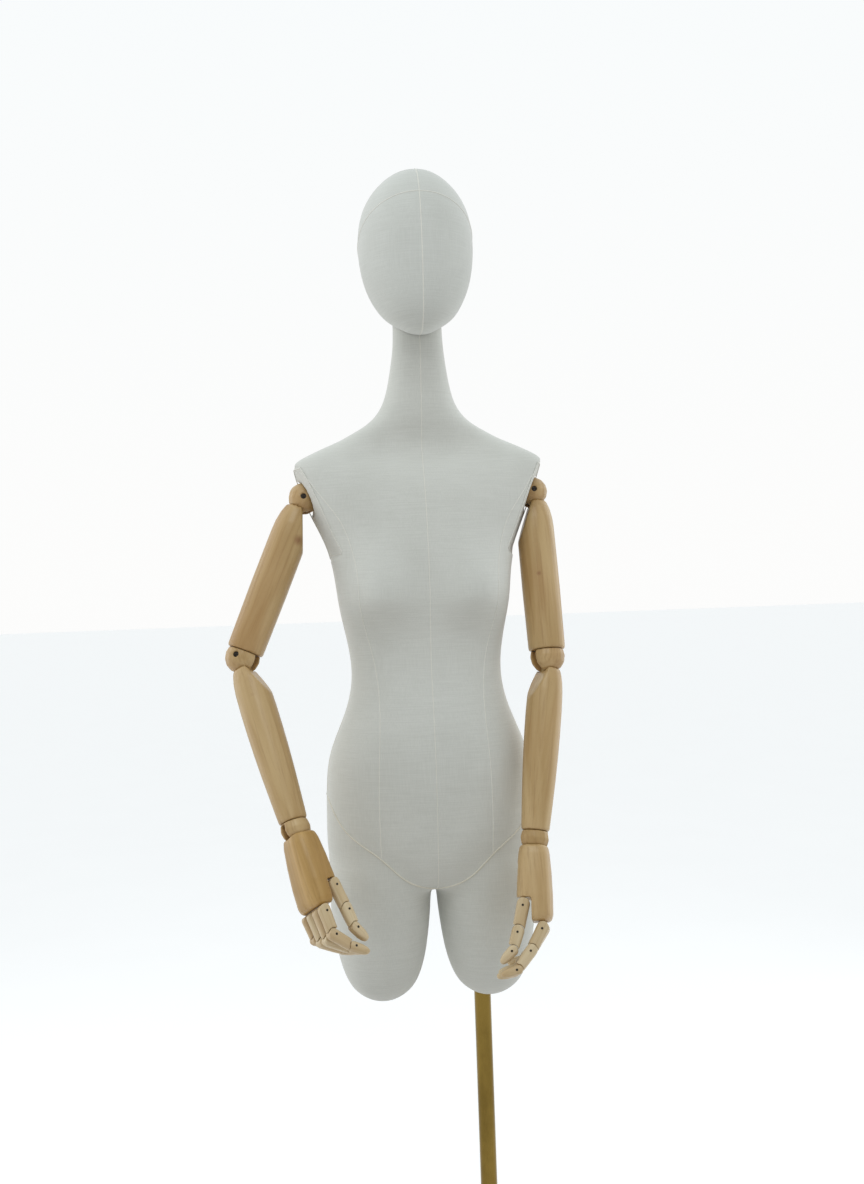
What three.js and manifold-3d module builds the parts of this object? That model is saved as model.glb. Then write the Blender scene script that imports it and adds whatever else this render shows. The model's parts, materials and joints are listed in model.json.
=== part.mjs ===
// Articulated display mannequin: a fabric-covered female form with an egg head,
// jointed wooden arms and hands, on an off-centre brass pole with a round base.
// Millimetres, +Z up, the form faces -Y, its left arm is on +X.
// The origin is the centre of the base plate's underside.
import * as THREE from "three";
import { mergeVertices } from "three/addons/utils/BufferGeometryUtils.js";
import Module from "manifold-3d";

const wasm = await Module();
wasm.setup();

// ---------------------------------------------------------------- dimensions
const GAP = 0.3; // play between pieces that touch
const BIG = 400; // side of the blocks that cut
const PAST = 1; // how far a cutter runs past the face it cuts
const DEEP = 60; // how far a cutter runs on where nothing is behind
const SIDES = { base: 48, body: 32, head: 28, thigh: 24, tube: 24, limb: 20, ball: 16, rod: 16,
  bore: 12, digit: 12 };
// How square the rounded sections are: 2 is an ellipse.
const POWER = { body: 2.25, thigh: 2.1, head: 2.05, limb: 2, palm: 2.7, digit: 2.4 };

const BASE = { radius: 190, thick: 10, chamfer: 2 };
const FLANGE = { radius: 32, rim: 5, neck: 19, top: 26 };
const POLE = { x: 69, y: 5, radius: 12.5, bottom: 120, top: 820 };
const TUBE = { inner: 12.9, outer: 16, floor: 8, top: 300 };
const COLLAR = { radius: 22, bottom: 292, top: 326, chamfer: 1 };
const KNOB = { screw: 3.5, stand: 3, radius: 10, lobes: 8, lobe: 0.9, length: 12 };

// Rows of the body: height, half width, front and back.
const BODY_ROWS = [
  [800, 138, -64, 92],
  [825, 151, -77, 104],
  [850, 155.5, -86, 114],
  [900, 156, -93, 124],
  [945, 154, -97, 128],
  [993, 148, -98, 118],
  [1041, 130, -94, 98],
  [1074, 118, -89, 84],
  [1117, 111.5, -82, 74],
  [1168, 117, -83, 78],
  [1222, 127, -92, 90],
  [1275, 134, -96, 98],
  [1302, 141, -95, 100],
  [1329, 152, -91, 100],
  [1354, 165, -86, 98],
  [1380, 177, -79, 92],
  [1404, 186, -70, 83],
  [1420, 189, -62, 74],
  [1431, 186, -56, 67],
  [1441, 171, -53, 61],
  [1454, 142, -52, 56],
  [1463, 120, -54, 52],
  [1472, 102, -57, 48],
  [1483, 82, -62, 43],
  [1496, 66, -66, 37],
  [1512, 55, -69, 30],
  [1537, 46.5, -72, 18],
  [1566, 41, -76, 7],
  [1596, 37, -79, -4],
  [1620, 36, -78.5, -6.5],
  [1644.4, 36, -78.5, -6.5],
];
// Heights where the body's surface is sampled: [from, step].
const BODY_STEPS = [[800, 28], [1276, 22], [1408, 11], [1474, 18], [1541, 34]];
const THIGH_X = 80;
const THIGH_ROWS = [
  [626, 0, 6, 6],
  [628.5, 16, -11, 23],
  [636, 31, -27, 39],
  [651, 47, -44, 56],
  [668, 56, -54, 66],
  [690, 63, -61, 74],
  [720, 69, -67, 80],
  [762, 74.5, -73, 86],
  [800, 76, -77, 91],
  [828, 75, -77, 94],
  [852, 67, -68, 86],
  [880, 44, -42, 60],
];
const SOCKET_TOP = 822; // top of the hole for the pole
const BUST = { x: 71, z: 1229, height: 27, across: 36, above: 44, below: 27, facing: 50, spread: 0.12 };

const HEAD_ROWS = [
  [1604, 0, -98, -98],
  [1607, 17, -120, -72],
  [1616, 33.5, -133, -52],
  [1627, 47.7, -142, -29],
  [1647, 62, -150, 0],
  [1677, 75, -154, 24],
  [1714, 82.4, -155, 38],
  [1745, 83.6, -154, 45],
  [1772, 80.7, -150, 46],
  [1797, 72.5, -141, 40],
  [1822, 55, -124, 24],
  [1837, 37, -104, 4],
  [1845, 17, -77, -24],
  [1847, 0, -51, -51],
];
const NECK = { y: -42.5, top: 1644.4, recess: 39, under: 1564, peg: 11.6, pegBottom: 1602,
  pegTop: 1668 };

// The armhole is closed by a board: a slanted face from the shoulder tip down to the
// flank, then a steeper one along it. Both are turned a little towards the front.
const ARMHOLE = { y: 10, turn: 14, bottom: 1288, thick: 8 };
const ARMHOLE_FACES = [{ x: 187, z: 1428, lean: 20 }, { x: 139, z: 1302, lean: 4 }];
const SHOULDER = { x: 174, y: 20, z: 1381, ball: 24, recess: 25.2, face: 152 };
const MOUNT = { radius: 21, inner: 137, spigot: 8 };

const TONGUE = { half: 6, slot: 6.5, neck: 7 };
const BOLT = { radius: 4, hole: 4.4, shoulderHalf: 21 };
const UPPER_ARM = { length: 255, end: 245.2, eye: 10.5, strip: 35, bevelIn: 6, bevelDrop: 20,
  bevelTurn: 21 };
const ELBOW = { ball: 26, flat: 9.2, stem: 15, stemTop: 30, ceiling: 12.6, eye: 12, boltHalf: 23 };
const FOREARM = { length: 269, end: 258, strip: 37, bevelIn: 6.5, bevelDrop: 20, bevelTurn: 22.3 };
const WRIST = { ball: 21.5, flat: 10.4, stem: 10, stemTop: 26, ceiling: 8.6, eye: 8, pin: 2.5, pinHalf: 18 };
const PALM = { inward: -1.5, thenar: 84, fingerFace: -5 };
const PALM_HOLLOW = { x: -21, z: -50, lean: -13, front: -13 };
const WRIST_TONGUE = { half: 5, slot: 5.4, neck: 5.5, strip: 28 };

// Limb rows: distance below the joint and radius; the palm's: distance, half thickness and width.
const UPPER_ARM_ROWS = [[14, 18.6], [20, 21.6], [30, 25], [45, 27.6], [62, 28.4], [150, 28.6],
  [236, 27.6], [243.6, 27.3], [245.2, 25.8]];
const FOREARM_ROWS = [[14, 17.6], [24, 21.6], [37, 24.4], [54, 26], [84, 26.7], [118, 26.5],
  [150, 25.8], [182, 24.6], [220, 22.6], [248, 21], [256.4, 20.4], [258, 19]];
const PALM_ROWS = [[9.6, 17.5, 20], [12.6, 20.5, 24], [21.6, 22.4, 27], [48, 24.6, 31],
  [80, 26, 34], [107, 26, 34], [113.5, 24, 32], [116, 21, 29]];

// A digit's place and knuckle drop, the lengths and half thicknesses of its three segments,
// and its half width.
const FINGER_X = 10;
// A segment's taper, its fingertip rows (part of length, thickness and width), its saddle's edges.
const SEGMENT = { middle: 0.94, tip: [[0.8, 0.7, 0.82], [0.95, 0.42, 0.55]], end: 0.3, endSide: 0.97,
  relief: 0.86 };
const FINGERS = [
  { name: "index", y: -25.6, drop: 125.5, lengths: [34, 32, 25], radii: [9, 8.6, 7.2], side: 7.7 },
  { name: "middle", y: -8.6, drop: 125.5, lengths: [37, 34, 26], radii: [9, 8.6, 7.2], side: 7.7 },
  { name: "ring", y: 8.4, drop: 125.5, lengths: [35, 32, 25], radii: [9, 8.4, 7], side: 7.6 },
  { name: "little", y: 25, drop: 124.5, lengths: [28, 25, 21], radii: [8, 7.4, 6.4], side: 6.9 },
];
const THUMB = { name: "thumb", x: -16.5, y: -25.5, drop: 94, lengths: [37, 27, 24],
  radii: [9.5, 9, 7.6], side: 8.3 };

// How each arm is posed at rest, in degrees.
const POSES = {
  right: { swing: 8, raise: 22.5, turn: 24, bend: 40.5, twist: 50, wrist: 0,
    digits: { index: [4, 44, 12], middle: [5, 54, 12], ring: [6, 55, 12], little: [8, 55, 12],
      thumb: [11, -2, 24] } },
  left: { swing: 13, raise: 1, turn: 18, bend: 10.5, twist: 30, wrist: -5,
    digits: { index: [28, 8, 36], middle: [30, 10, 34], ring: [31, 12, 33], little: [32, 12, 32],
      thumb: [12, 4, 28] } },
};

// ------------------------------------------------------------------ materials
function finish(color, roughness, metalness) {
  return new THREE.MeshStandardMaterial({ color, roughness, metalness });
}
const FABRIC = finish(0xd9dbd6, 0.9, 0);
const WOOD = finish(0xc4a67c, 0.45, 0);
const BRASS = finish(0xa98a4a, 0.3, 1);
const STEEL = finish(0x4a4643, 0.4, 1);

// ------------------------------------------------------------- geometry tools
const rad = THREE.MathUtils.degToRad;

function solid(geometry) {
  const bare = geometry.clone();
  bare.deleteAttribute("normal");
  bare.deleteAttribute("uv");
  const merged = mergeVertices(bare, 1e-4);
  const mesh = new wasm.Mesh({
    numProp: 3,
    vertProperties: new Float32Array(merged.attributes.position.array),
    triVerts: new Uint32Array(merged.index.array),
  });
  return new wasm.Manifold(mesh);
}

function surface(manifold) {
  const mesh = manifold.getMesh();
  const geometry = new THREE.BufferGeometry();
  geometry.setAttribute("position", new THREE.BufferAttribute(mesh.vertProperties, 3));
  geometry.setIndex(new THREE.BufferAttribute(mesh.triVerts, 1));
  return geometry;
}

function mirrored(geometry) {
  const copy = geometry.clone();
  copy.scale(-1, 1, 1);
  const index = copy.index.array;
  for (let i = 0; i < index.length; i += 3) {
    [index[i], index[i + 1]] = [index[i + 1], index[i]];
  }
  return copy;
}

function block(x0, x1, y0, y1, z0, z1) {
  const geometry = new THREE.BoxGeometry(x1 - x0, y1 - y0, z1 - z0);
  geometry.translate((x0 + x1) / 2, (y0 + y1) / 2, (z0 + z1) / 2);
  return solid(geometry);
}

// A rod along an axis, from one coordinate on it to another.
function rod(axis, radius, from, to, at, sides = SIDES.rod) {
  const geometry = new THREE.CylinderGeometry(radius, radius, to - from, sides);
  geometry.translate(0, (from + to) / 2, 0);
  if (axis === "x") geometry.rotateZ(-Math.PI / 2);
  if (axis === "z") geometry.rotateX(Math.PI / 2);
  geometry.translate(at[0], at[1], at[2]);
  return solid(geometry);
}

function ball(radius) {
  const geometry = new THREE.SphereGeometry(radius, SIDES.ball, SIDES.ball / 2);
  geometry.rotateX(Math.PI / 2);
  return solid(geometry);
}

// The hollow that a ball of this radius turns in, with its flat facets clear of the ball.
function cup(radius) {
  return ball((radius + GAP) / Math.cos(Math.PI / SIDES.ball) ** 2);
}

function turned(profile, sides) {
  const points = profile.map(([r, z]) => new THREE.Vector2(r, z));
  const geometry = new THREE.LatheGeometry(points, sides);
  geometry.rotateX(Math.PI / 2);
  return geometry;
}

// A closed skin through level sections; a row is [height, half width, front, back, middle x].
function loft(rows, sides, power) {
  const positions = [];
  const triangles = [];
  const rings = rows.filter((row) => row[1] > 0);
  for (const [z, half, front, back, middle = 0] of rings) {
    for (let i = 0; i < sides; i += 1) {
      const angle = (2 * Math.PI * i) / sides;
      const across = Math.sign(Math.cos(angle)) * Math.abs(Math.cos(angle)) ** (2 / power);
      const along = Math.sign(Math.sin(angle)) * Math.abs(Math.sin(angle)) ** (2 / power);
      positions.push(middle + half * across, (front + back) / 2 + ((back - front) / 2) * along, z);
    }
  }
  for (const end of [rows[0], rows[rows.length - 1]]) {
    positions.push(end[4] ?? 0, (end[2] + end[3]) / 2, end[0]);
  }
  const low = rings.length * sides;
  const last = (rings.length - 1) * sides;
  for (let i = 0; i < sides; i += 1) {
    const next = (i + 1) % sides;
    triangles.push(low, next, i, low + 1, last + i, last + next);
    for (let ring = 0; ring < last; ring += sides) {
      triangles.push(ring + i, ring + next, ring + sides + next);
      triangles.push(ring + i, ring + sides + next, ring + sides + i);
    }
  }
  const geometry = new THREE.BufferGeometry();
  geometry.setAttribute("position", new THREE.Float32BufferAttribute(positions, 3));
  geometry.setIndex(triangles);
  return geometry;
}

// Rows on a smooth curve through the given rows, at the given heights.
function smoothRows(rows, heights) {
  const levels = Float32Array.from(rows, (row) => row[0]);
  const values = Float32Array.from(rows.flatMap((row) => row.slice(1, 4)));
  const curve = new THREE.CubicInterpolant(levels, values, 3);
  return heights.map((z) => [z, ...curve.evaluate(z)]);
}

// The part of a solid on the far side of a face that looks along -X, tilted about Y.
function beyondFace(x, z, degrees, y0 = -BIG, y1 = BIG) {
  const geometry = new THREE.BoxGeometry(BIG, y1 - y0, BIG);
  geometry.translate(-BIG / 2, (y0 + y1) / 2, 0);
  geometry.rotateY(rad(degrees));
  geometry.translate(x, 0, z);
  return solid(geometry);
}

// --------------------------------------------------------------- the assembly
const mannequin = new THREE.Group();
mannequin.name = "mannequin";

function put(parent, name, geometry, material, side = 1) {
  const mesh = new THREE.Mesh(side < 0 ? mirrored(geometry) : geometry, material);
  mesh.name = name;
  parent.add(mesh);
}

function hang(parent, name, x, y, z) {
  const group = new THREE.Group();
  group.name = name;
  group.position.set(x, y, z);
  parent.add(group);
  return group;
}

// ------------------------------------------------------------- the fabric form
function bodyHeights() {
  const heights = [];
  BODY_STEPS.forEach(([from, step], i) => {
    const end = BODY_STEPS[i + 1]?.[0] ?? NECK.top;
    const count = Math.round((end - from) / step);
    for (let k = 0; k < count; k += 1) heights.push(from + k * step);
  });
  heights.push(NECK.top);
  return heights;
}

// Two soft swellings on the front of the chest.
function addBust(geometry) {
  const position = geometry.attributes.position;
  for (let i = 0; i < position.count; i += 1) {
    const [x, y, z] = [position.getX(i), position.getY(i), position.getZ(i)];
    const fall = z > BUST.z ? BUST.above : BUST.below;
    const level = Math.exp(-(((z - BUST.z) / fall) ** 2) / 2);
    const aside = Math.exp(-(((Math.abs(x) - BUST.x) / BUST.across) ** 2) / 2);
    const facing = THREE.MathUtils.smoothstep(-y, 0, BUST.facing);
    const swell = BUST.height * level * aside * facing;
    position.setXYZ(i, x * (1 + (BUST.spread * swell) / BUST.x), y - swell, z);
  }
}

function bodySolid() {
  const skin = loft(smoothRows(BODY_ROWS, bodyHeights()), SIDES.body, POWER.body);
  addBust(skin);
  const thighRows = THIGH_ROWS.map(([z, half, front, back]) => [z, half, front, back, THIGH_X]);
  const thigh = loft(thighRows, SIDES.thigh, POWER.thigh);
  const body = solid(skin).add(solid(thigh)).add(solid(mirrored(thigh)));
  const socket = rod("z", TUBE.inner, 0, SOCKET_TOP, [POLE.x, POLE.y, 0]);
  const pegHole = rod("z", NECK.peg + GAP, NECK.pegBottom - PAST, NECK.top + PAST, [0, NECK.y, 0]);
  return body.subtract(socket).subtract(pegHole);
}

// Everything outside the left armhole board's two faces, set in by a depth.
function outsideArmhole(depth) {
  const [slanted, steep] = ARMHOLE_FACES.map(({ x, z, lean }) => {
    const geometry = new THREE.BoxGeometry(BIG, BIG, BIG);
    geometry.translate(BIG / 2 - depth, 0, 0);
    geometry.rotateY(rad(lean));
    geometry.rotateZ(rad(-ARMHOLE.turn));
    geometry.translate(x, ARMHOLE.y, z);
    return solid(geometry);
  });
  const below = block(-BIG, BIG, -BIG, BIG, 0, ARMHOLE.bottom - depth);
  return surface(slanted.intersect(steep).subtract(below));
}

// The round seat in the side of the form for the shoulder joint.
function shoulderSeat() {
  const at = [0, SHOULDER.y, SHOULDER.z];
  const recess = rod("x", SHOULDER.recess, SHOULDER.face - GAP, SHOULDER.x + DEEP, at, SIDES.tube);
  const socket = rod("x", MOUNT.radius + GAP, MOUNT.inner - GAP, SHOULDER.x, at);
  return surface(recess.add(socket));
}

function addForm(parent) {
  let body = bodySolid();
  const seat = shoulderSeat();
  for (const side of [1, -1]) {
    const flip = (geometry) => (side < 0 ? mirrored(geometry) : geometry);
    const shell = body.subtract(solid(flip(outsideArmhole(0))));
    const behind = solid(flip(outsideArmhole(ARMHOLE.thick)));
    const cut = solid(flip(seat));
    const board = shell.intersect(behind).subtract(cut);
    const name = side > 0 ? "left_armhole_board" : "right_armhole_board";
    put(parent, name, surface(board), FABRIC);
    body = body.subtract(solid(flip(outsideArmhole(ARMHOLE.thick + GAP)))).subtract(cut);
  }
  put(parent, "torso", surface(body), FABRIC);
}

function headGeometry() {
  const skin = loft(HEAD_ROWS, SIDES.head, POWER.head);
  const at = [0, NECK.y, 0];
  const recess = rod("z", NECK.recess, NECK.under, NECK.top + GAP, at, SIDES.tube);
  const pegHole = rod("z", NECK.peg + GAP, NECK.under, NECK.pegTop + PAST, at);
  const egg = surface(solid(skin).subtract(recess).subtract(pegHole));
  egg.translate(0, -NECK.y, 0);
  return egg;
}

// ------------------------------------------------------------------- the stand
function addStand(parent) {
  const { radius, thick, chamfer } = BASE;
  const plate = turned([[0, 0], [radius - chamfer, 0], [radius, chamfer], [radius, thick - chamfer],
    [radius - chamfer, thick], [0, thick]], SIDES.base);
  put(parent, "base_plate", plate, BRASS);
  const foot = thick + GAP;
  const floor = foot + TUBE.floor;
  const tube = turned([[0, foot], [FLANGE.radius, foot], [FLANGE.radius, foot + FLANGE.rim],
    [FLANGE.neck, FLANGE.top], [TUBE.outer, FLANGE.top], [TUBE.outer, TUBE.top],
    [TUBE.inner, TUBE.top], [TUBE.inner, floor], [0, floor]], SIDES.tube);
  tube.translate(POLE.x, POLE.y, 0);
  put(parent, "outer_tube", tube, BRASS);
  put(parent, "clamp_collar", surface(collarSolid()), BRASS);
}

function collarSolid() {
  const ledge = TUBE.top + GAP;
  const { radius, bottom, top, chamfer } = COLLAR;
  const ring = turned([[TUBE.outer + GAP, bottom], [radius - chamfer, bottom],
    [radius, bottom + chamfer], [radius, top - chamfer], [radius - chamfer, top],
    [TUBE.inner, top], [TUBE.inner, ledge], [TUBE.outer + GAP, ledge],
    [TUBE.outer + GAP, bottom]], SIDES.tube);
  ring.translate(POLE.x, POLE.y, 0);
  const middle = (ledge + top) / 2;
  const hole = rod("x", KNOB.screw + GAP, POLE.x, POLE.x + DEEP, [0, POLE.y, middle]);
  return solid(ring).subtract(hole);
}

function addKnob(parent) {
  const middle = (TUBE.top + GAP + COLLAR.top) / 2;
  const group = hang(parent, "clamp_turn", POLE.x, POLE.y, middle);
  const grip = COLLAR.radius + KNOB.stand;
  const screw = rod("x", KNOB.screw, POLE.radius + 2 * GAP, grip + PAST, [0, 0, 0]);
  const head = solid(knurledHead(grip));
  put(group, "clamp_screw", surface(screw.add(head)), BRASS);
}

// The knob's head, scalloped for the fingers.
function knurledHead(from) {
  const shape = new THREE.Shape();
  const points = 4 * KNOB.lobes;
  for (let i = 0; i < points; i += 1) {
    const angle = (2 * Math.PI * i) / points;
    const radius = KNOB.radius + KNOB.lobe * Math.cos(KNOB.lobes * angle);
    const [x, y] = [radius * Math.cos(angle), radius * Math.sin(angle)];
    if (i === 0) shape.moveTo(x, y);
    else shape.lineTo(x, y);
  }
  const geometry = new THREE.ExtrudeGeometry(shape, { depth: KNOB.length, bevelEnabled: false });
  geometry.rotateY(Math.PI / 2);
  geometry.translate(from, 0, 0);
  return geometry;
}

// -------------------------------------------------------------------- the arms
// Pieces are drawn for the left arm hanging straight down: outward is +X, the front is -Y.
function limbRows(rows) {
  return rows.map(([drop, radius]) => [-drop, radius, -radius, radius]).reverse();
}

// A hinge eye with the neck that joins it to the limb below.
function tongue(eye, half, neck, drop, hole) {
  const disc = rod("y", eye, -half, half, [0, 0, 0]);
  const strip = block(-neck, neck, -half, half, -drop, 0);
  return disc.add(strip).subtract(rod("y", hole, -half - PAST, half + PAST, [0, 0, 0], SIDES.bore));
}

function mountSolid() {
  const ring = rod("x", MOUNT.radius, MOUNT.inner, SHOULDER.face - GAP, [0, 0, 0]);
  return ring.subtract(rod("x", MOUNT.spigot + GAP, 0, SHOULDER.face + PAST, [0, 0, 0]));
}

function shoulderCapSolid() {
  const face = SHOULDER.face - SHOULDER.x;
  const dome = ball(SHOULDER.ball).subtract(block(-BIG, face, -BIG, BIG, -BIG, BIG));
  const spigot = rod("x", MOUNT.spigot, MOUNT.inner - SHOULDER.x + PAST, face + PAST, [0, 0, 0]);
  const slot = block(-UPPER_ARM.eye - PAST, BIG, -TONGUE.slot, TONGUE.slot, -BIG,
    UPPER_ARM.eye + PAST);
  const hole = rod("y", BOLT.hole, -DEEP, DEEP, [0, 0, 0], SIDES.bore);
  return dome.add(spigot).subtract(slot).subtract(hole);
}

function upperArmSolid() {
  const { length, end, eye, strip, bevelIn, bevelDrop, bevelTurn } = UPPER_ARM;
  const bore = rod("z", ELBOW.stem + GAP, -end - PAST, ELBOW.stemTop - length + PAST, [0, 0, 0]);
  return solid(loft(limbRows(UPPER_ARM_ROWS), SIDES.limb, POWER.limb))
    .subtract(cup(SHOULDER.ball))
    .subtract(beyondFace(-bevelIn, -bevelDrop, bevelTurn))
    .add(tongue(eye, TONGUE.half, TONGUE.neck, strip, BOLT.hole))
    .subtract(bore);
}

function pin(radius, half) {
  return surface(rod("y", radius, -half, half, [0, 0, 0], SIDES.bore));
}

// A ball whose flat top turns on a stem in the limb above, slotted for the limb below. Its
// bolt goes in from behind; the bore ends a given distance in front of the centre.
function jointBall(size, slotHalf, hole, front) {
  const top = block(-BIG, BIG, -BIG, BIG, size.flat, BIG);
  const stem = rod("z", size.stem, 0, size.stemTop, [0, 0, 0]);
  const slot = block(-BIG, BIG, -slotHalf, slotHalf, -BIG, size.ceiling);
  const bore = rod("y", hole, -front, DEEP, [0, 0, 0], SIDES.bore);
  return ball(size.ball).subtract(top).add(stem).subtract(slot).subtract(bore);
}

function forearmSolid() {
  const { length, end, strip, bevelIn, bevelDrop, bevelTurn } = FOREARM;
  const bore = rod("z", WRIST.stem + GAP, -end - PAST, WRIST.stemTop - length + PAST, [0, 0, 0]);
  return solid(loft(limbRows(FOREARM_ROWS), SIDES.limb, POWER.limb))
    .subtract(cup(ELBOW.ball))
    .subtract(beyondFace(-bevelIn, -bevelDrop, bevelTurn))
    .add(tongue(ELBOW.eye, TONGUE.half, TONGUE.neck, strip, BOLT.hole))
    .subtract(bore);
}

function palmSolid() {
  const { inward, thenar, fingerFace } = PALM;
  const levels = PALM_ROWS.map(([drop, half, side]) => [-drop, half, -side, side, inward]).reverse();
  const thumbNotch = block(-BIG, fingerFace, -BIG, BIG, -BIG, -thenar);
  const hollow = beyondFace(PALM_HOLLOW.x, PALM_HOLLOW.z, PALM_HOLLOW.lean, PALM_HOLLOW.front);
  const { half, neck, strip } = WRIST_TONGUE;
  return solid(loft(levels, SIDES.limb, POWER.palm))
    .subtract(cup(WRIST.ball))
    .subtract(thumbNotch)
    .subtract(hollow)
    .add(tongue(WRIST.eye, half, neck, strip, WRIST.pin + GAP));
}

// One finger segment hanging from its pin, ending in a saddle for the next one.
function segmentSolid(length, radius, nextRadius, side) {
  const rows = [[-radius - PAST, radius, side], [0, radius, side],
    [length / 2, radius * SEGMENT.middle, side]];
  if (nextRadius) {
    rows.push([length - SEGMENT.end * nextRadius, nextRadius, side * SEGMENT.endSide]);
  } else {
    for (const [part, thick, wide] of SEGMENT.tip) rows.push([length * part, radius * thick, side * wide]);
    rows.push([length, 0, 0]);
  }
  const levels = rows.map(([drop, half, wide]) => [-drop, half, -wide, wide]).reverse();
  const shoulders = block(-BIG, BIG, -BIG, BIG, 0, BIG).subtract(rod("y", radius, -BIG, BIG, [0, 0, 0]));
  const piece = solid(loft(levels, SIDES.digit, POWER.digit)).subtract(shoulders);
  if (!nextRadius) return piece;
  const saddle = rod("y", nextRadius + 2 * GAP, -BIG, BIG, [0, 0, -length]);
  const reliefTop = SEGMENT.relief * nextRadius - length;
  const relief = block(-BIG, -SEGMENT.end * nextRadius, -BIG, BIG, -BIG, reliefTop);
  return piece.subtract(saddle).subtract(relief);
}

function addDigit(parent, prefix, side, digit, x, angles) {
  let knuckle = hang(parent, `${prefix}_${digit.name}_1`, side * x, digit.y, -digit.drop);
  digit.lengths.forEach((length, i) => {
    if (i > 0) {
      const drop = digit.lengths[i - 1];
      knuckle = hang(knuckle, `${prefix}_${digit.name}_${i + 1}`, 0, 0, -drop);
    }
    knuckle.rotation.y = side * rad(angles[i]);
    const piece = segmentSolid(length, digit.radii[i], digit.radii[i + 1], digit.side);
    put(knuckle, `${prefix}_${digit.name}_segment_${i + 1}`, surface(piece), WOOD, side);
  });
}

function addHand(parent, prefix, side, pose) {
  put(parent, `${prefix}_palm`, surface(palmSolid()), WOOD, side);
  for (const finger of FINGERS) {
    addDigit(parent, prefix, side, finger, FINGER_X, pose.digits[finger.name]);
  }
  addDigit(parent, prefix, side, THUMB, THUMB.x, pose.digits.thumb);
}

// The piece fixed in the form, the cap that swings on it and the upper arm.
function addUpperArm(parent, prefix, side, pose) {
  const { x, y, z } = SHOULDER;
  const fixed = hang(parent, `${prefix}_mount`, 0, y, z);
  put(fixed, `${prefix}_shoulder_mount`, surface(mountSolid()), WOOD, side);
  const swing = hang(parent, `${prefix}_shoulder_swing`, side * x, y, z);
  swing.rotation.x = -rad(pose.swing);
  put(swing, `${prefix}_shoulder_cap`, surface(shoulderCapSolid()), WOOD, side);
  put(swing, `${prefix}_shoulder_bolt`, pin(BOLT.radius, BOLT.shoulderHalf), STEEL);
  const raise = hang(swing, `${prefix}_shoulder_raise`, 0, 0, 0);
  raise.rotation.y = -side * rad(pose.raise);
  put(raise, `${prefix}_upper_arm`, surface(upperArmSolid()), WOOD, side);
  return raise;
}

// The elbow ball and the forearm that folds in it.
function addForearm(parent, prefix, side, pose) {
  const turn = hang(parent, `${prefix}_elbow_turn`, 0, 0, -UPPER_ARM.length);
  turn.rotation.z = side * rad(pose.turn);
  const front = side < 0 ? DEEP : ELBOW.boltHalf + GAP;
  put(turn, `${prefix}_elbow_ball`, surface(jointBall(ELBOW, TONGUE.slot, BOLT.hole, front)), WOOD);
  put(turn, `${prefix}_elbow_bolt`, pin(BOLT.radius, ELBOW.boltHalf), STEEL);
  const bend = hang(turn, `${prefix}_elbow_bend`, 0, 0, 0);
  bend.rotation.y = side * rad(pose.bend);
  put(bend, `${prefix}_forearm`, surface(forearmSolid()), WOOD, side);
  return bend;
}

// The wrist ball and the hand that tips in it.
function addWrist(parent, prefix, side, pose) {
  const turn = hang(parent, `${prefix}_wrist_turn`, 0, 0, -FOREARM.length);
  turn.rotation.z = -side * rad(pose.twist);
  const wristBall = jointBall(WRIST, WRIST_TONGUE.slot, WRIST.pin + GAP, WRIST.pinHalf + GAP);
  put(turn, `${prefix}_wrist_ball`, surface(wristBall), WOOD);
  put(turn, `${prefix}_wrist_pin`, pin(WRIST.pin, WRIST.pinHalf), STEEL);
  const bend = hang(turn, `${prefix}_wrist_bend`, 0, 0, 0);
  bend.rotation.y = side * rad(pose.wrist);
  return bend;
}

function addArm(parent, prefix, side) {
  const pose = POSES[prefix];
  const upper = addUpperArm(parent, prefix, side, pose);
  const fore = addForearm(upper, prefix, side, pose);
  const hand = addWrist(fore, prefix, side, pose);
  addHand(hand, prefix, side, pose);
}

// The pole, the padded form on it and the head, which rise together.
function addBody(parent) {
  const pole = rod("z", POLE.radius, POLE.bottom, POLE.top, [POLE.x, POLE.y, 0], SIDES.tube);
  put(parent, "inner_pole", surface(pole), BRASS);
  addForm(parent);
  const peg = rod("z", NECK.peg, NECK.pegBottom, NECK.pegTop, [0, NECK.y, 0]);
  put(parent, "neck_peg", surface(peg), STEEL);
  const headTurn = hang(parent, "head_turn", 0, NECK.y, 0);
  put(headTurn, "head", headGeometry(), FABRIC);
}

addStand(mannequin);
addKnob(mannequin);
const form = hang(mannequin, "height_slide", 0, 0, 0);
addBody(form);
addArm(form, "right", -1);
addArm(form, "left", 1);

export default mannequin;
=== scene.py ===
"""Looks of the articulated display mannequin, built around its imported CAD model.

Lengths in the tables are millimetres in the row frame: +Z up, the form faces -Y.
"""
import json
import math

import bmesh
import bpy
import numpy as np
from mathutils import Matrix, Vector
from mathutils.bvhtree import BVHTree


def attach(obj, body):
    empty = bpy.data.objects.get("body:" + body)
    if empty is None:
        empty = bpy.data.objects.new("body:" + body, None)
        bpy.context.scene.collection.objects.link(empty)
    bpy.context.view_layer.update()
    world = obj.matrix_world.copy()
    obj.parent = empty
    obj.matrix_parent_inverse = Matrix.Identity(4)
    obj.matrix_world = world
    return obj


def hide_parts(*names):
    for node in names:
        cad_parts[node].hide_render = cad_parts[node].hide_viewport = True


MM = 0.001

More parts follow.
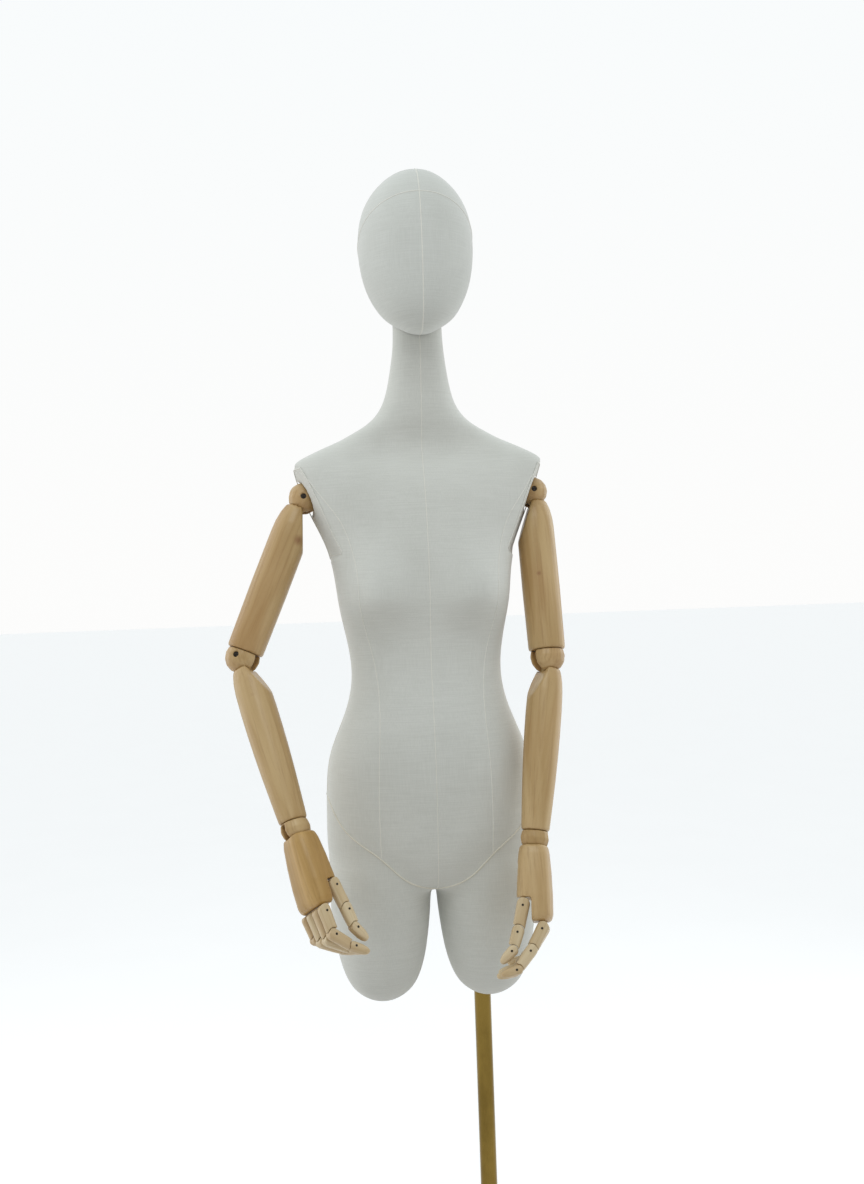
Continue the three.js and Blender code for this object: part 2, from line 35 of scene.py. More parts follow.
# ---------------------------------------------------------------- dimensions
# Rows of the body and thigh: height, half width, front and back.
BODY_ROWS = [
    (800, 138, -64, 92), (825, 151, -77, 104), (850, 155.5, -86, 114), (900, 156, -93, 124),
    (945, 154, -97, 128), (993, 148, -98, 118), (1041, 130, -94, 98), (1074, 118, -89, 84),
    (1117, 111.5, -82, 74), (1168, 117, -83, 78), (1222, 127, -92, 90), (1275, 134, -96, 98),
    (1302, 141, -95, 100), (1329, 152, -91, 100), (1354, 165, -86, 98), (1380, 177, -79, 92),
    (1404, 186, -70, 83), (1420, 189, -62, 74), (1431, 186, -56, 67), (1441, 171, -53, 61),
    (1454, 142, -52, 56), (1463, 120, -54, 52), (1472, 102, -57, 48), (1483, 82, -62, 43),
    (1496, 66, -66, 37), (1512, 55, -69, 30), (1537, 46.5, -72, 18), (1566, 41, -76, 7),
    (1596, 37, -79, -4), (1620, 36, -78.5, -6.5), (1644, 36, -78.5, -6.5),
]
THIGH_X = 80
THIGH_ROWS = [
    (626, 2, 4, 8), (628.5, 16, -11, 23), (636, 31, -27, 39), (651, 47, -44, 56),
    (668, 56, -54, 66), (690, 63, -61, 74), (720, 69, -67, 80), (762, 74.5, -73, 86),
    (800, 76, -77, 91), (828, 75, -77, 94), (852, 67, -68, 86), (880, 44, -42, 60),
]
HEAD_ROWS = [
    (1604, 2, -100, -96), (1607, 17, -120, -72), (1616, 33.5, -133, -52),
    (1627, 47.7, -142, -29), (1647, 62, -150, 0), (1677, 75, -154, 24), (1714, 82.4, -155, 38),
    (1745, 83.6, -154, 45), (1772, 80.7, -150, 46), (1797, 72.5, -141, 40),
    (1822, 55, -124, 24), (1837, 37, -104, 4), (1845, 17, -77, -24), (1847, 2, -53, -49),
]
BUST = {"x": 71, "z": 1229, "height": 27, "across": 36, "above": 44, "below": 27, "facing": 50,
        "spread": 0.12}
NECK = {"y": -42.5, "recess": 39, "top": 1644.7}

# The armhole's two faces on the left: a point on each and its lean; both are turned.
ARMHOLE_FACES = [((187, 10, 1428), 20), ((139, 10, 1302), 4)]
ARMHOLE_TURN = 14
ARMHOLE_BOTTOM, ARMHOLE_TOP = 1288, 1427
SHOULDER = {"y": 20, "z": 1381, "recess": 25.2, "floor": 149.5}

# Sewn lines, as x and height, drawn on the front or the back and mirrored.
CENTRE_SEAM = [(0, 1640), (0, 1400), (0, 1150), (0, 900), (0, 806)]
FRONT_PANEL_SEAM = [(185, 1427), (160, 1395), (147, 1376), (123, 1341), (109, 1302), (102, 1262),
                    (100, 1220), (84, 1150), (76, 1080), (80, 990), (82, 920), (81, 852)]
BACK_PANEL_SEAM = [(150, 1405), (118, 1350), (98, 1290), (84, 1200), (72, 1117), (78, 1020),
                   (88, 930), (86, 842)]
FRONT_LEG_SEAM = [(154, 936), (130, 890), (82, 852), (45, 818), (22, 807), (0, 803)]
BACK_LEG_SEAM = [(154, 936), (136, 884), (92, 845), (48, 818), (22, 807), (0, 803)]
HEAD_CENTRE = (0, -54, 1728)
CROWN_SEAM = [(-141, 1795), (-60, 1745)]  # two points of the crown seam's plane, as y and z

SEAM = {"half": 0.85, "rise": 0.7}
PIPING = {"half": 1.3, "rise": 1.1}
STEP = 3.0  # spacing of points along a sewn line
LOOP_POINTS = 240  # points of a seam that runs round the head
OUTSIDE = 500  # where rays start, well outside the form
VOXEL = 3.0  # mesh size of the fabric covers
# Strength of the surroundings in front of the form, below it and from level upwards.
WORLD = {"front": 0.61, "below": 0.9, "level": 0.98}

# Light, body and dark tones of the wood.
LIMB_TONES = ("C4A878", "AD8D5A", "80592B")
DIGIT_TONES = ("D6C4A0", "C4AD84", "94713F")
WARM_TONES = ("C09C60", "A88344", "7A5A26")

# The head of a digit's pin: height above its seat and radius, from the sunk end outwards.
PIN_RINGS = [(-1.5, 1.7), (0.0, 1.7), (0.4, 1.65), (0.65, 1.1), (0.75, 0.3)]
PIN = {"below": 1.2, "sunk": 0.25, "sides": 14}

# --------------------------------------------------------------------- frame
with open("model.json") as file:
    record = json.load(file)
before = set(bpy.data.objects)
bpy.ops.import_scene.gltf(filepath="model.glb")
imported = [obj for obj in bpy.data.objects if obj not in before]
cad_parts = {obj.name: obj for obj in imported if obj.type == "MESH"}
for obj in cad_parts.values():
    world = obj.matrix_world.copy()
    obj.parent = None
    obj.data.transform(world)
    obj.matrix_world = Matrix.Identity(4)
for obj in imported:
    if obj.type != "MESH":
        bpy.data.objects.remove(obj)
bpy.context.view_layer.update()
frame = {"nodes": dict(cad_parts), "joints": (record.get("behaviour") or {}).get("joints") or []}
JOINTS = {joint["name"]: joint for joint in frame["joints"]}
SIDES = {"left": 1, "right": -1}
DIGITS = ("index", "middle", "ring", "little", "thumb")


# --------------------------------------------------------------- mesh helpers
def make_object(name, vertices, faces):
    mesh = bpy.data.meshes.new(name)
    mesh.from_pydata([tuple(v) for v in vertices], [], faces)
    mesh.update()
    piece = bpy.data.objects.new(name, mesh)
    bpy.context.collection.objects.link(piece)
    return piece


def bake_modifiers(piece):
    """Turn a piece's modifiers into plain mesh."""
    depsgraph = bpy.context.evaluated_depsgraph_get()
    mesh = bpy.data.meshes.new_from_object(piece.evaluated_get(depsgraph))
    piece.modifiers.clear()
    piece.data = mesh


def shade(piece, degrees=None):
    piece.data.shade_smooth()
    if degrees is not None:
        piece.data.set_sharp_from_angle(angle=math.radians(degrees))


def spline_rows(rows, count):
    """Points on a smooth curve through rows, parametrised by the distance along it."""
    table = np.array(rows, dtype=float)
    steps = np.linalg.norm(np.diff(table, axis=0), axis=1)
    at = np.concatenate([[0], np.cumsum(steps)])
    size = len(at)
    system = np.eye(size)
    right = np.zeros_like(table)
    for i in range(1, size - 1):
        before, after = at[i] - at[i - 1], at[i + 1] - at[i]
        system[i, i - 1:i + 2] = before, 2 * (before + after), after
        slope = (table[i + 1] - table[i]) / after - (table[i] - table[i - 1]) / before
        right[i] = 6 * slope
    bend = np.linalg.solve(system, right)
    wanted = np.linspace(0, at[-1], count)
    piece = np.clip(np.searchsorted(at, wanted) - 1, 0, size - 2)
    width = (at[piece + 1] - at[piece])[:, None]
    left = (wanted - at[piece])[:, None] / width
    rest = 1 - left
    curve = width ** 2 / 6 * ((rest ** 3 - rest) * bend[piece] + (left ** 3 - left) * bend[piece + 1])
    return rest * table[piece] + left * table[piece + 1] + curve


def loft(name, rows, count, sides, power, middle=0.0, shape=None):
    """A closed skin through level superellipse sections."""
    levels = spline_rows(rows, count)
    angle = np.linspace(0, 2 * math.pi, sides, endpoint=False)
    across = np.sign(np.cos(angle)) * np.abs(np.cos(angle)) ** (2 / power)
    along = np.sign(np.sin(angle)) * np.abs(np.sin(angle)) ** (2 / power)
    z = np.repeat(levels[:, 0], sides)
    x = middle + np.outer(levels[:, 1], across).ravel()
    centre, depth = (levels[:, 2] + levels[:, 3]) / 2, (levels[:, 3] - levels[:, 2]) / 2
    y = (centre[:, None] + np.outer(depth, along)).ravel()
    points = np.stack([x, y, z], axis=1)
    if shape:
        points = shape(points)
    faces = []
    for ring in range(count - 1):
        for i in range(sides):
            low, high, following = ring * sides, (ring + 1) * sides, (i + 1) % sides
            faces.append((low + i, low + following, high + following, high + i))
    faces.append(tuple(range(sides))[::-1])
    faces.append(tuple(range((count - 1) * sides, count * sides)))
    return make_object(name, points * MM, faces)


def relax(piece, rounds, weight):
    """Even out a mesh: weight gives each vertex's share, from its place in millimetres."""
    mesh = piece.data
    points = np.empty(len(mesh.vertices) * 3)
    mesh.vertices.foreach_get("co", points)
    points = points.reshape(-1, 3)
    edges = np.empty(len(mesh.edges) * 2, dtype=int)
    mesh.edges.foreach_get("vertices", edges)
    ends = edges.reshape(-1, 2)
    first, second = np.concatenate([ends, ends[:, ::-1]]).T
    count = np.maximum(np.bincount(first, minlength=len(points)), 1)
    share = weight(points / MM)
    for _ in range(rounds):
        for axis in range(3):
            total = np.bincount(first, weights=points[second, axis], minlength=len(points))
            points[:, axis] += 0.5 * share * (total / count - points[:, axis])
    mesh.vertices.foreach_set("co", points.ravel())
    mesh.update()


def remesh(piece, voxel):
    modifier = piece.modifiers.new("remesh", "REMESH")
    modifier.mode = "VOXEL"
    modifier.voxel_size = voxel * MM
    bake_modifiers(piece)


def join(name, pieces):
    """One object from several."""
    joined = bmesh.new()
    for piece in pieces:
        joined.from_mesh(piece.data)
        bpy.data.objects.remove(piece)
    mesh = bpy.data.meshes.new(name)
    joined.to_mesh(mesh)
    joined.free()
    result = bpy.data.objects.new(name, mesh)
    bpy.context.collection.objects.link(result)
    return result


def cut(piece, cutter):
    modifier = piece.modifiers.new("cut", "BOOLEAN")
    modifier.operation = "DIFFERENCE"
    modifier.solver = "EXACT"
    modifier.object = cutter
    bake_modifiers(piece)
    bpy.data.objects.remove(cutter)


def drum(axis, radius, start, end, centre, sides=64):
    """A cylinder from start to end along an axis, as a cutter."""
    shape = bmesh.new()
    bmesh.ops.create_cone(shape, cap_ends=True, segments=sides, radius1=radius * MM,
                          radius2=radius * MM, depth=(end - start) * MM)
    turn = Matrix.Rotation(math.pi / 2, 4, "Y") if axis == "X" else Matrix.Identity(4)
    place = Vector(centre)
    place["XYZ".index(axis)] = (start + end) / 2
    shape.transform(Matrix.Translation(place * MM) @ turn)
    mesh = bpy.data.meshes.new("cutter")
    shape.to_mesh(mesh)
    shape.free()
    cutter = bpy.data.objects.new("cutter", mesh)
    bpy.context.collection.objects.link(cutter)
    return cutter


def surface_of(piece):
    depsgraph = bpy.context.evaluated_depsgraph_get()
    return BVHTree.FromObject(piece, depsgraph)


# ----------------------------------------------------------------- fabric form
def with_bust(points):
    """Two soft swellings on the front of the chest."""
    x, y, z = points.T
    fall = np.where(z > BUST["z"], BUST["above"], BUST["below"])
    level = np.exp(-(((z - BUST["z"]) / fall) ** 2) / 2)
    aside = np.exp(-(((np.abs(x) - BUST["x"]) / BUST["across"]) ** 2) / 2)
    facing = np.clip(-y / BUST["facing"], 0, 1)
    swell = BUST["height"] * level * aside * facing ** 2 * (3 - 2 * facing)
    return np.stack([x * (1 + BUST["spread"] * swell / BUST["x"]), y - swell, z], axis=1)


def armhole_planes(side):
    """Point and outward normal of each face of one armhole."""
    planes = []
    turn = math.radians(ARMHOLE_TURN)
    for (x, y, z), lean in ARMHOLE_FACES:
        tilt = math.radians(lean)
        normal = Vector((side * math.cos(tilt) * math.cos(turn), -math.cos(tilt) * math.sin(turn),
                         -math.sin(tilt)))
        planes.append((Vector((side * x, y, z)), normal))
    return planes


def armhole_cutter(side):
    shape = bmesh.new()
    bmesh.ops.create_cube(shape, size=1)
    shape.transform(Matrix.Translation((side * 250 * MM, 0, (ARMHOLE_BOTTOM + 150) * MM))
                    @ Matrix.Diagonal((0.4, 0.6, 0.3, 1)))
    for point, normal in armhole_planes(side):
        everything = shape.verts[:] + shape.edges[:] + shape.faces[:]
        bmesh.ops.bisect_plane(shape, geom=everything, plane_co=point * MM, plane_no=normal,
                               clear_inner=True)
        rim = [edge for edge in shape.edges if edge.is_boundary]
        bmesh.ops.contextual_create(shape, geom=rim)
    bmesh.ops.recalc_face_normals(shape, faces=shape.faces[:])
    mesh = bpy.data.meshes.new("cutter")
    shape.to_mesh(mesh)
    shape.free()
    cutter = bpy.data.objects.new("cutter", mesh)
    bpy.context.collection.objects.link(cutter)
    return cutter


def crotch_share(points):
    """How much each point relaxes: fully where the thighs join the body, little elsewhere."""
    z = points[:, 2]
    return np.clip((925 - z) / 40, 0.02, 1) * np.clip((z - 700) / 40, 0.1, 1)


def evenly(points):
    return np.ones(len(points))


def whole_form():
    """The form before its armholes are cut: body and thighs grown together."""
    parts = [loft("body", BODY_ROWS, 300, 200, 2.25, shape=with_bust)]
    for side in (1, -1):
        parts.append(loft("thigh", THIGH_ROWS, 100, 128, 2.1, middle=side * THIGH_X))
    form = join("form_cover", parts)
    remesh(form, VOXEL)
    relax(form, 60, crotch_share)
    return form


def build_form():
    form = whole_form()
    smooth = surface_of(form)
    for side in (1, -1):
        cut(form, armhole_cutter(side))
        start, end = sorted((side * SHOULDER["floor"], side * 230))
        cut(form, drum("X", SHOULDER["recess"], start, end, (0, SHOULDER["y"], SHOULDER["z"])))
    remesh(form, VOXEL * 0.8)
    relax(form, 5, evenly)
    shade(form)
    return form, smooth


def build_head():
    head = loft("head_cover", HEAD_ROWS, 160, 160, 2.05)
    remesh(head, VOXEL * 0.8)
    relax(head, 12, evenly)
    cut(head, drum("Z", NECK["recess"], 1560, NECK["top"], (0, NECK["y"], 0)))
    shade(head, 40)
    return head


# ------------------------------------------------------------------ sewn lines
def dense(path):
    """A smooth line through flat points, with a point every few millimetres."""
    length = sum(math.dist(a, b) for a, b in zip(path, path[1:]))
    return spline_rows(path, max(8, int(length / STEP)))


def dropped(tree, path, facing):
    """Points and normals where a line of x and z lands on the form from the front or back."""
    found = []
    for x, z in dense(path):
        hit, normal, _, _ = tree.ray_cast(Vector((x, -OUTSIDE * facing, z)) * MM, Vector((0, facing, 0)))
        if hit:
            found.append((hit, normal))
    return found


def sweep(name, found, size, closed=False):
    """A low rounded ridge along points on a surface."""
    around = 8
    count = len(found)
    vertices = []
    for i, (point, normal) in enumerate(found):
        after = found[(i + 1) % count][0] if closed else found[min(i + 1, count - 1)][0]
        before = found[i - 1][0] if closed or i else point
        side = normal.cross(after - before).normalized()
        for k in range(around):
            angle = 2 * math.pi * k / around
            offset = side * (size["half"] * math.cos(angle)) + normal * (size["rise"] * math.sin(angle))
            vertices.append(point + offset * MM)
    faces = []
    for i in range(count if closed else count - 1):
        low, high = i * around, ((i + 1) % count) * around
        for k in range(around):
            following = (k + 1) % around
            faces.append((low + k, low + following, high + following, high + k))
    if not closed:
        faces.append(tuple(range(around))[::-1])
        faces.append(tuple(range((count - 1) * around, count * around)))
    ridge = make_object(name, vertices, faces)
    shade(ridge)
    return ridge


def mirrored(path):
    return [(-x, z) for x, z in path]


def side_seam(tree, side):
    found = []
    for z in np.arange(ARMHOLE_BOTTOM - 3, 938, -STEP):
        hit, normal, _, _ = tree.ray_cast(Vector((side * OUTSIDE, 8, z)) * MM, Vector((-side, 0, 0)))
        if hit:
            found.append((hit, normal))
    return found


def armhole_edge(tree, side):
    """The loop where one armhole's boards meet the form's skin."""
    upper, lower = armhole_planes(side)
    front, back = [], []
    for z in np.arange(ARMHOLE_BOTTOM + 1, ARMHOLE_TOP, STEP):
        # Both faces are cut at this height; the outer one is the board's.
        spots = []
        for point, normal in (upper, lower):
            x = point.x - (normal.z * (z - point.z)) / normal.x
            spots.append((side * x, Vector((x, point.y, z)), normal))
        _, spot, normal = max(spots, key=lambda item: item[0])
        along = normal.cross(Vector((0, 0, 1))).normalized()
        if along.y > 0:
            along = -along
        for direction, line in ((along, front), (-along, back)):
            hit, skin, _, _ = tree.ray_cast(spot * MM, direction)
            if hit:
                line.append((hit, (skin + normal).normalized()))
    bottom = []
    if front and back:
        a, b = back[0][0], front[0][0]
        for share in np.linspace(0, 1, 24)[1:-1]:
            near, normal, _, _ = tree.find_nearest(a.lerp(b, share))
            bottom.append((near, normal))
    return front + back[::-1] + bottom


def build_seams(form, smooth, cloth, cord):
    tree = surface_of(form)
    ridges = []

    def sew(name, found, size, closed=False):
        ridge = sweep(name, found, size, closed)
        ridge.data.materials.append(cord if size is PIPING else cloth)
        ridges.append(ridge)

    for facing, word in ((1, "front"), (-1, "back")):
        sew(f"{word}_centre_seam", dropped(tree, CENTRE_SEAM, facing), SEAM)
        panel = FRONT_PANEL_SEAM if facing > 0 else BACK_PANEL_SEAM
        leg = FRONT_LEG_SEAM if facing > 0 else BACK_LEG_SEAM
        for name, side in SIDES.items():
            flip = (lambda path: path) if side > 0 else mirrored
            sew(f"{name}_{word}_panel_seam", dropped(tree, flip(panel), facing), SEAM)
            sew(f"{name}_{word}_leg_piping", dropped(tree, flip(leg), facing), PIPING)
    for name, side in SIDES.items():
        sew(f"{name}_side_seam", side_seam(tree, side), SEAM)
        sew(f"{name}_armhole_seam", armhole_edge(smooth, side), SEAM, closed=True)
    for ridge in ridges:
        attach(ridge, "form")


def around_head(tree, start, direction_at):
    """Points and normals round the head, seen from start, leaving out the neck's recess."""
    found = []
    for step in range(LOOP_POINTS):
        direction = direction_at(2 * math.pi * step / LOOP_POINTS)
        hit, normal, _, _ = tree.ray_cast((start + direction * 400) * MM, -direction)
        low = hit and hit.z < NECK["top"] * MM
        under = low and math.hypot(hit.x, hit.y - NECK["y"] * MM) < (NECK["recess"] + 3) * MM
        if hit and not under:
            found.append((hit, normal))
    return found


def opened(found):
    """An open line that starts after the widest gap of a loop."""
    gaps = [(found[i][0] - found[i - 1][0]).length for i in range(len(found))]
    first = gaps.index(max(gaps))
    return found[first:] + found[:first]


def build_head_seams(head, cloth):
    tree = surface_of(head)
    centre = Vector(HEAD_CENTRE)
    lengthwise = around_head(tree, centre, lambda a: Vector((0, -math.sin(a), math.cos(a))))
    (y0, z0), (y1, z1) = CROWN_SEAM
    tilt = Vector((0, y1 - y0, z1 - z0)).normalized()
    foot = Vector((0, y0, z0))
    # The crown seam's plane misses the centre, so its loop is walked from a point in the plane.
    start = foot + tilt * (centre - foot).dot(tilt)
    crown = around_head(tree, start, lambda a: Vector((math.cos(a), 0, 0)) + tilt * math.sin(a))
    for name, found, closed in (("head_centre_seam", opened(lengthwise), False),
                                ("head_crown_seam", crown, True)):
        ridge = sweep(name, found, SEAM, closed)
        ridge.data.materials.append(cloth)
        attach(ridge, "head")


# ------------------------------------------------------------------- materials
class Shader:
    """A material's node tree with short names for what is used here."""

    def __init__(self, name):
        self.material = bpy.data.materials.new(name)
        self.material.use_nodes = True
        self.nodes = self.material.node_tree.nodes
        self.links = self.material.node_tree.links
        self.surface = self.nodes["Principled BSDF"]
        self.place = self.nodes.new("ShaderNodeTexCoord")

    def set(self, **values):
        for name, value in values.items():
            label = name.replace("_", " ").title().replace("Ior", "IOR")
            self.surface.inputs[label].default_value = value

    def feed(self, socket, value):
        if hasattr(value, "node"):
            self.links.new(value, socket)
        elif value is not None:
            socket.default_value = value

    def mapped(self, scale, rotation=(0, 0, 0), source=None):
        node = self.nodes.new("ShaderNodeMapping")
        self.links.new(source or self.place.outputs["Object"], node.inputs["Vector"])
        node.inputs["Rotation"].default_value = rotation
        node.inputs["Scale"].default_value = scale
        return node.outputs["Vector"]

    def noise(self, vector, scale=1.0, detail=2.0, rough=0.5, distortion=0.0):
        node = self.nodes.new("ShaderNodeTexNoise")
        self.links.new(vector, node.inputs["Vector"])
        node.inputs["Scale"].default_value = scale
        node.inputs["Detail"].default_value = detail
        node.inputs["Roughness"].default_value = rough
        node.inputs["Distortion"].default_value = distortion
        return node.outputs["Fac"]

    def math(self, operation, a, b=None):
        node = self.nodes.new("ShaderNodeMath")
        node.operation = operation
        for socket, value in zip(node.inputs, (a, b)):
            self.feed(socket, value)
        return node.outputs[0]

    def span(self, value, low, high, to_low=0.0, to_high=1.0):
        node = self.nodes.new("ShaderNodeMapRange")
        node.interpolation_type = "SMOOTHSTEP"
        for socket, item in zip(node.inputs, (value, low, high, to_low, to_high)):
            self.feed(socket, item)
        return node.outputs[0]

    def mix(self, share, a, b):
        node = self.nodes.new("ShaderNodeMix")
        node.data_type = "RGBA"
        self.feed(node.inputs["Factor"], share)
        for name, value in (("A", a), ("B", b)):
            socket = next(s for s in node.inputs if s.name == name and s.type == "RGBA")
            self.feed(socket, value)
        return next(s for s in node.outputs if s.type == "RGBA")

    def bump(self, height, distance, strength=1.0):
        node = self.nodes.new("ShaderNodeBump")
        node.inputs["Distance"].default_value = distance
        node.inputs["Strength"].default_value = strength
        self.links.new(height, node.inputs["Height"])
        self.links.new(node.outputs["Normal"], self.surface.inputs["Normal"])


def colour(code):
    """Linear colour from a six-digit sRGB code."""
    parts = [int(code[i:i + 2], 16) / 255 for i in (0, 2, 4)]
    return tuple(((c + 0.055) / 1.055) ** 2.4 if c > 0.04 else c / 12.92 for c in parts) + (1,)


def linen(name, tone, shade_tone, thread=0.75):
    """Plain-woven linen with uneven threads; thread is the weave's pitch in millimetres."""
    s = Shader(name)
    normal = s.nodes.new("ShaderNodeSeparateXYZ")
    s.links.new(s.place.outputs["Normal"], normal.inputs["Vector"])
    point = s.nodes.new("ShaderNodeSeparateXYZ")
    s.links.new(s.place.outputs["Object"], point.inputs["Vector"])
    sideways = s.span(s.math("ABSOLUTE", normal.outputs["X"]), 0.62, 0.78)
    pitch = math.pi / (thread * MM)

    def threads(coordinate):
        return s.math("ABSOLUTE", s.math("SINE", s.math("MULTIPLY", coordinate, pitch)))

    warp_front = threads(point.outputs["X"])
    warp_side = threads(point.outputs["Y"])
    warp = s.math("ADD", s.math("MULTIPLY", warp_front, s.math("SUBTRACT", 1.0, sideways)),
                  s.math("MULTIPLY", warp_side, sideways))
    weft = threads(point.outputs["Z"])
    weave = s.math("MULTIPLY", warp, weft)
    slubs_down = s.noise(s.mapped((1100, 1100, 28)), detail=3, rough=0.6)
    slubs_across = s.noise(s.mapped((28, 28, 1300)), detail=3, rough=0.45)
    slubs = s.math("ADD", slubs_down, slubs_across)
    cloud = s.noise(s.mapped((9, 9, 7)), detail=3)
    tint = s.math("ADD", s.span(slubs, 0.7, 1.3, 0.0, 0.5), s.span(cloud, 0.35, 0.65, 0.0, 0.3))
    base = s.mix(tint, tone, shade_tone)
    # Painted shade: where the weave dips between threads, the colour is pulled towards the darker tone,
    # by up to 0.35.
    gap_shade = s.span(weave, 0.0, 0.35, 0.35, 0.0)
    s.feed(s.surface.inputs["Base Color"], s.mix(gap_shade, base, shade_tone))
    s.feed(s.surface.inputs["Roughness"], s.span(slubs, 0.7, 1.3, 0.84, 0.94))
    s.set(sheen_weight=0.35, sheen_roughness=0.45, specular_ior_level=0.3)
    height = s.math("ADD", weave, s.math("MULTIPLY", slubs, 0.8))
    s.bump(height, 0.00012, 0.35)
    return s.material


def turned_to_z(direction):
    """Euler angles that lay a direction on Z."""
    return Vector(direction).rotation_difference(Vector((0, 0, 1))).to_euler("XYZ")


def wood(name, direction, seed, warm=0.0, knots=(), tones=LIMB_TONES):
    """Satin-lacquered pale hardwood with its grain along a direction."""
    s = Shader(name)
    turn = turned_to_z(direction)
    along = s.mapped((1, 1, 1), rotation=turn)
    shifted = s.nodes.new("ShaderNodeVectorMath")
    shifted.operation = "ADD"
    s.links.new(along, shifted.inputs[0])
    shifted.inputs[1].default_value = (0.37 * seed, 0.21 * seed, 0.53 * seed)
    source = shifted.outputs[0]
    streaks = s.noise(s.mapped((260, 260, 7), source=source), detail=4, rough=0.6, distortion=0.3)
    broad = s.noise(s.mapped((38, 38, 3.2), source=source), detail=3, rough=0.55, distortion=0.6)
    flecks = s.noise(s.mapped((1500, 1500, 120), source=source), detail=2, rough=0.6)
    cloud = s.noise(s.mapped((14, 14, 5), source=source), detail=2)
    light, body, dark = (colour(code) for code in tones)
    base = s.mix(s.span(broad, 0.32, 0.68), light, body)
    base = s.mix(s.span(streaks, 0.50, 0.72, 0.0, 0.28), base, dark)
    base = s.mix(s.span(flecks, 0.60, 0.74, 0.0, 0.20), base, dark)
    base = s.mix(s.span(cloud, 0.40, 0.70, 0.0, 0.22 + warm), base, colour("A9743E"))
    for centre, radius in knots:
        offset = s.nodes.new("ShaderNodeVectorMath")
        offset.operation = "DISTANCE"
        s.links.new(s.place.outputs["Object"], offset.inputs[0])
        offset.inputs[1].default_value = Vector(centre)
        ragged = s.math("ADD", offset.outputs["Value"], s.math("MULTIPLY", streaks, radius * 0.7))
        near = s.span(ragged, radius * 0.4, radius * 1.5, 0.75, 0.0)
        base = s.mix(near, base, colour("8A5A36"))
    s.feed(s.surface.inputs["Base Color"], base)
    s.feed(s.surface.inputs["Roughness"], s.span(streaks, 0.3, 0.7, 0.38, 0.50))
    s.set(coat_weight=0.18, coat_roughness=0.25, specular_ior_level=0.45)
    s.bump(s.math("ADD", streaks, s.math("MULTIPLY", flecks, 0.5)), 0.00012, 0.45)
    return s.material


def brass(name, round_plate=False):
    """Satin brass, brushed along its length and slightly darkened."""
    s = Shader(name)
    if round_plate:
        point = s.nodes.new("ShaderNodeVectorMath")
        point.operation = "LENGTH"
        s.links.new(s.mapped((1, 1, 0)), point.inputs[0])
        rings = s.nodes.new("ShaderNodeCombineXYZ")
        s.links.new(point.outputs["Value"], rings.inputs["X"])
        brushed = s.noise(rings.outputs["Vector"], scale=1400, detail=3)
    else:
        brushed = s.noise(s.mapped((900, 900, 9)), detail=3)
    patina = s.noise(s.mapped((22, 22, 12)), detail=4, rough=0.6)
    base = s.mix(s.span(patina, 0.35, 0.75, 0.0, 0.6), colour("816A34"), colour("54421E"))
    s.feed(s.surface.inputs["Base Color"], base)
    s.feed(s.surface.inputs["Roughness"], s.span(brushed, 0.3, 0.7, 0.18, 0.30))
    s.set(metallic=1.0)
    s.bump(brushed, 0.00004, 0.4)
    return s.material


def dark_steel(name):
    s = Shader(name)
    scratches = s.noise(s.mapped((500, 500, 500)), detail=4)
    base = s.mix(s.span(scratches, 0.4, 0.7), colour("2E2A26"), colour("57504A"))
    s.feed(s.surface.inputs["Base Color"], base)
    s.feed(s.surface.inputs["Roughness"], s.span(scratches, 0.3, 0.7, 0.35, 0.55))
    s.set(metallic=1.0)
    s.bump(scratches, 0.00005, 0.3)
    return s.material


def paint(node, material):
    """Give a carried-over CAD node its material."""
    mesh = frame["nodes"][node].data
    mesh.materials.clear()
    mesh.materials.append(material)


# ------------------------------------------------------------------ wooden arms
def joint_place(name):
    return Vector(JOINTS[name]["pos_m"])


def node_points(node):
    mesh = frame["nodes"][node].data
    points = np.empty(len(mesh.vertices) * 3)
    mesh.vertices.foreach_get("co", points)
    return points.reshape(-1, 3)


def carve(node, voxel, rounds):
    """Round the edges of a wooden CAD node as sanding does."""
    piece = frame["nodes"][node]
    grid = piece.modifiers.new("even", "REMESH")
    grid.mode = "VOXEL"
    grid.voxel_size = voxel * MM
    grid.use_smooth_shade = True
    sanding = piece.modifiers.new("sanded", "SMOOTH")
    sanding.factor = 0.5
    sanding.iterations = rounds


def finish_arm(name, seed):
    shoulder = joint_place(f"{name}_shoulder_raise")
    elbow = joint_place(f"{name}_elbow_bend")
    wrist = joint_place(f"{name}_wrist_bend")
    knuckle = joint_place(f"{name}_middle_1")
    upper, fore, hand = elbow - shoulder, wrist - elbow, knuckle - wrist
    knots = arm_knots(name, shoulder, elbow, wrist)
    limbs = [
        ("shoulder_mount", upper, 0.0, 1.4, 6), ("shoulder_cap", upper, 0.05, 1.2, 8),
        ("upper_arm", upper, 0.0, 1.6, 10), ("elbow_ball", fore, 0.08, 1.2, 8),
        ("forearm", fore, 0.03, 1.6, 10), ("wrist_ball", hand, 0.05, 1.1, 8),
        ("palm", hand, -0.12, 1.3, 9),
    ]
    for i, (part, direction, warm, voxel, rounds) in enumerate(limbs):
        node = f"{name}_{part}"
        tones = WARM_TONES if node == "right_palm" else LIMB_TONES
        material = wood(f"{node}_wood", direction, seed + i, warm, knots.get(part, ()), tones)
        paint(node, material)
        carve(node, voxel, rounds)
    for bolt in ("shoulder_bolt", "elbow_bolt", "wrist_pin"):
        paint(f"{name}_{bolt}", STEEL)
    for i, digit in enumerate(DIGITS):
        finish_digit(name, digit, seed + 10 + i)


def arm_knots(name, shoulder, elbow, wrist):
    """Places and radii of the few knots, by limb."""
    front = Vector((0, -1, 0))
    if name == "right":
        inward = Vector((1, 0, 0))
        return {"upper_arm": [(shoulder.lerp(elbow, 0.27) + inward * 0.016 + front * 0.022, 0.010)],
                "forearm": [(elbow.lerp(wrist, 0.22) + front * 0.024, 0.005)]}
    return {"upper_arm": [(shoulder.lerp(elbow, 0.5) + front * 0.027 + Vector((-0.006, 0, 0)), 0.0045)]}


